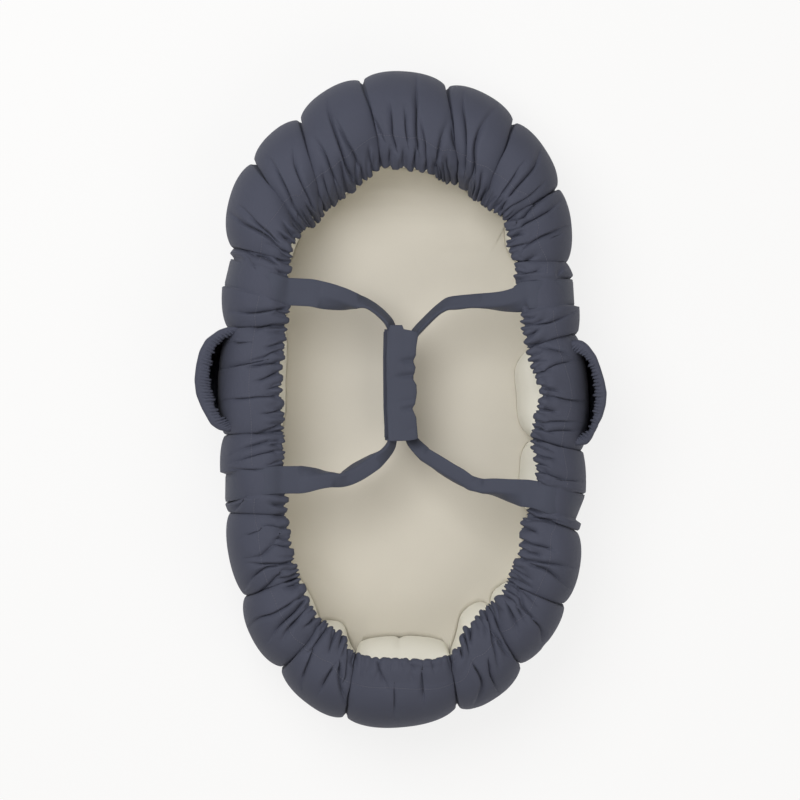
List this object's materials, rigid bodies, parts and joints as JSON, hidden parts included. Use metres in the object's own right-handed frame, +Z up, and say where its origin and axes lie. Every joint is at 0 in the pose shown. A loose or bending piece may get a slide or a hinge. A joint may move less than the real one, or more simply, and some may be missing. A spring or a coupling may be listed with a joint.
{
  "type": "infant lounger",
  "caption": "Oval padded infant lounger with a lobed bumper in a gathered cover, a mattress, side pockets and carrying straps joined in a wrapped grip.",
  "frame": {"origin": "middle of the footprint, on the surface the lounger stands on", "axes": "+Z up, +Y along the length towards the head end, +X to the right seen from above"},
  "size_m": [0.5156, 0.8194, 0.173],
  "materials": {
    "slate_cotton": "woven cotton canvas, washed and gathered",
    "strap_webbing": "dense woven strap cloth, edge stitched",
    "cream_cotton": "fine undyed cotton sateen, stuffed",
    "wadding": "foam and polyester wadding",
    "elastic_band": "woven elastic",
    "stiff_board": "stiff fibre sheet",
    "touch_fastener": "hook and loop tape"
  },
  "bodies": {
    "root": {"bumper_channel_01": "cream_cotton", "bumper_channel_02": "cream_cotton", "bumper_channel_03": "cream_cotton", "bumper_channel_04": "cream_cotton", "bumper_channel_05": "cream_cotton", "bumper_channel_06": "cream_cotton", "bumper_channel_07": "cream_cotton", "bumper_channel_08": "cream_cotton", "bumper_channel_09": "cream_cotton", "bumper_channel_10": "cream_cotton", "bumper_channel_11": "cream_cotton", "bumper_channel_12": "cream_cotton", "bumper_channel_13": "cream_cotton", "bumper_channel_14": "cream_cotton", "bumper_channel_15": "cream_cotton", "bumper_channel_16": "cream_cotton", "bumper_channel_17": "cream_cotton", "bumper_channel_18": "cream_cotton", "bumper_channel_19": "cream_cotton", "bumper_channel_20": "cream_cotton", "cover_head_panel": "slate_cotton", "cover_right_panel": "slate_cotton", "cover_foot_panel": "slate_cotton", "cover_left_panel": "slate_cotton", "cover_base": "slate_cotton", "rim_casing": "slate_cotton", "left_pocket": "slate_cotton", "left_pocket_hem": "slate_cotton", "right_pocket": "slate_cotton", "right_pocket_hem": "slate_cotton", "rim_elastic": "elastic_band", "left_pocket_elastic": "elastic_band", "right_pocket_elastic": "elastic_band", "left_strap_tail_upper": "strap_webbing", "left_strap_tail_lower": "strap_webbing", "right_strap_tail_upper": "strap_webbing", "right_strap_tail_lower": "strap_webbing", "insert_floor": "cream_cotton", "base_board": "stiff_board", "mattress_cover": "cream_cotton", "mattress_core": "wadding"},
    "left_handle": {"left_strap": "strap_webbing"},
    "right_handle": {"right_strap": "strap_webbing"},
    "grip": {"grip_wrap": "strap_webbing", "grip_loop_strip": "touch_fastener"},
    "grip_flap": {"grip_flap": "strap_webbing", "grip_hook_strip": "touch_fastener"}
  },
  "joints": [
    {"name": "left_handle_lift", "type": "hinge", "parent": "root", "child": "left_handle", "pos_m": [-0.14243, 0, 0.16505], "axis": [0, -1, 0], "range_deg": [0, 36]},
    {"name": "right_handle_lift", "type": "hinge", "parent": "root", "child": "right_handle", "pos_m": [0.14292, 0, 0.16505], "axis": [0, 1, 0], "range_deg": [0, 36]},
    {"name": "grip_level", "type": "hinge", "parent": "left_handle", "child": "grip", "pos_m": [-0.01217, 0.02, 0.12711], "axis": [0, -1, 0], "range_deg": [-36, 0]},
    {"name": "grip_flap_open", "type": "hinge", "parent": "grip", "child": "grip_flap", "pos_m": [0.01858, 0.02, 0.13851], "axis": [0, 1, 0], "range_deg": [0, 150]}
  ],
  "couplings": [
    {"joint": "right_handle_lift", "follows": "left_handle_lift", "ratio": 1},
    {"joint": "grip_level", "follows": "left_handle_lift", "ratio": -1}
  ]
}
